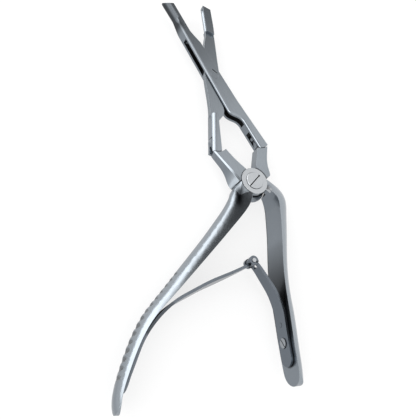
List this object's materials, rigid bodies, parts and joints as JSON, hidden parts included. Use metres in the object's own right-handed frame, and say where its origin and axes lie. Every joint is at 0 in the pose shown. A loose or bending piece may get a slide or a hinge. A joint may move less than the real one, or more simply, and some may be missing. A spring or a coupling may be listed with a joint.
{
  "type": "nasal septum forceps",
  "caption": "Double-action surgical forceps: two sprung handles drive a scissor linkage that closes two slim cupped jaws.",
  "frame": {"origin": "on the main joint's axis, at the rear face of the lap joint", "axes": "+Z along the main joint's axis out of the screw head, +Y from the main joint to the jaws, +X to the right; lying flat"},
  "size_m": [0.0942, 0.1789, 0.0124],
  "materials": {
    "satin_steel": "satin ground stainless steel",
    "screw_steel": "turned stainless steel",
    "spring_steel": "darker hardened spring steel"
  },
  "bodies": {
    "front_lever": {"front_lever": "satin_steel", "right_spring_screw": "screw_steel", "right_spring_pin": "spring_steel"},
    "rear_lever": {"rear_lever": "satin_steel", "pivot_screw": "screw_steel", "left_spring_screw": "screw_steel", "left_spring_pin": "spring_steel"},
    "inner_jaw": {"inner_jaw": "satin_steel", "left_link_pin": "satin_steel"},
    "outer_jaw": {"outer_jaw": "satin_steel", "jaw_pivot_pin": "satin_steel", "right_link_pin": "satin_steel"},
    "left_spring": {"left_spring": "spring_steel"},
    "right_spring": {"right_spring": "spring_steel", "knuckle_pin": "spring_steel"}
  },
  "joints": [
    {"name": "handles", "type": "hinge", "parent": "front_lever", "child": "rear_lever", "pos_m": [0, 0, 0.003], "axis": [0, 0, 1], "range_deg": [0, 30], "stiffness_Nm_per_rad": 0.4, "springref_deg": -20.05},
    {"name": "left_link", "type": "hinge", "parent": "front_lever", "child": "inner_jaw", "pos_m": [-0.0111, 0.0209, 0.003], "axis": [0, 0, 1], "range_deg": [0, 23.75]},
    {"name": "jaws", "type": "hinge", "parent": "inner_jaw", "child": "outer_jaw", "pos_m": [0, 0.0536, 0.003], "axis": [0, 0, 1], "range_deg": [-20.2, 0]},
    {"name": "left_leaf", "type": "hinge", "parent": "rear_lever", "child": "left_spring", "pos_m": [-0.0712, -0.0574, 0.003], "axis": [0, 0, 1], "range_deg": [0, 9.05], "deforming": ["left_spring"]},
    {"name": "right_leaf", "type": "hinge", "parent": "front_lever", "child": "right_spring", "pos_m": [-0.003, -0.0513, 0.003], "axis": [0, 0, 1], "range_deg": [-28.5, 0], "deforming": ["right_spring", "knuckle_pin"]}
  ],
  "couplings": [
    {"joint": "left_link", "follows": "handles", "ratio": 0.79},
    {"joint": "jaws", "follows": "handles", "ratio": -0.672},
    {"joint": "left_leaf", "follows": "handles", "ratio": 0.3},
    {"joint": "right_leaf", "follows": "handles", "ratio": -0.95}
  ]
}
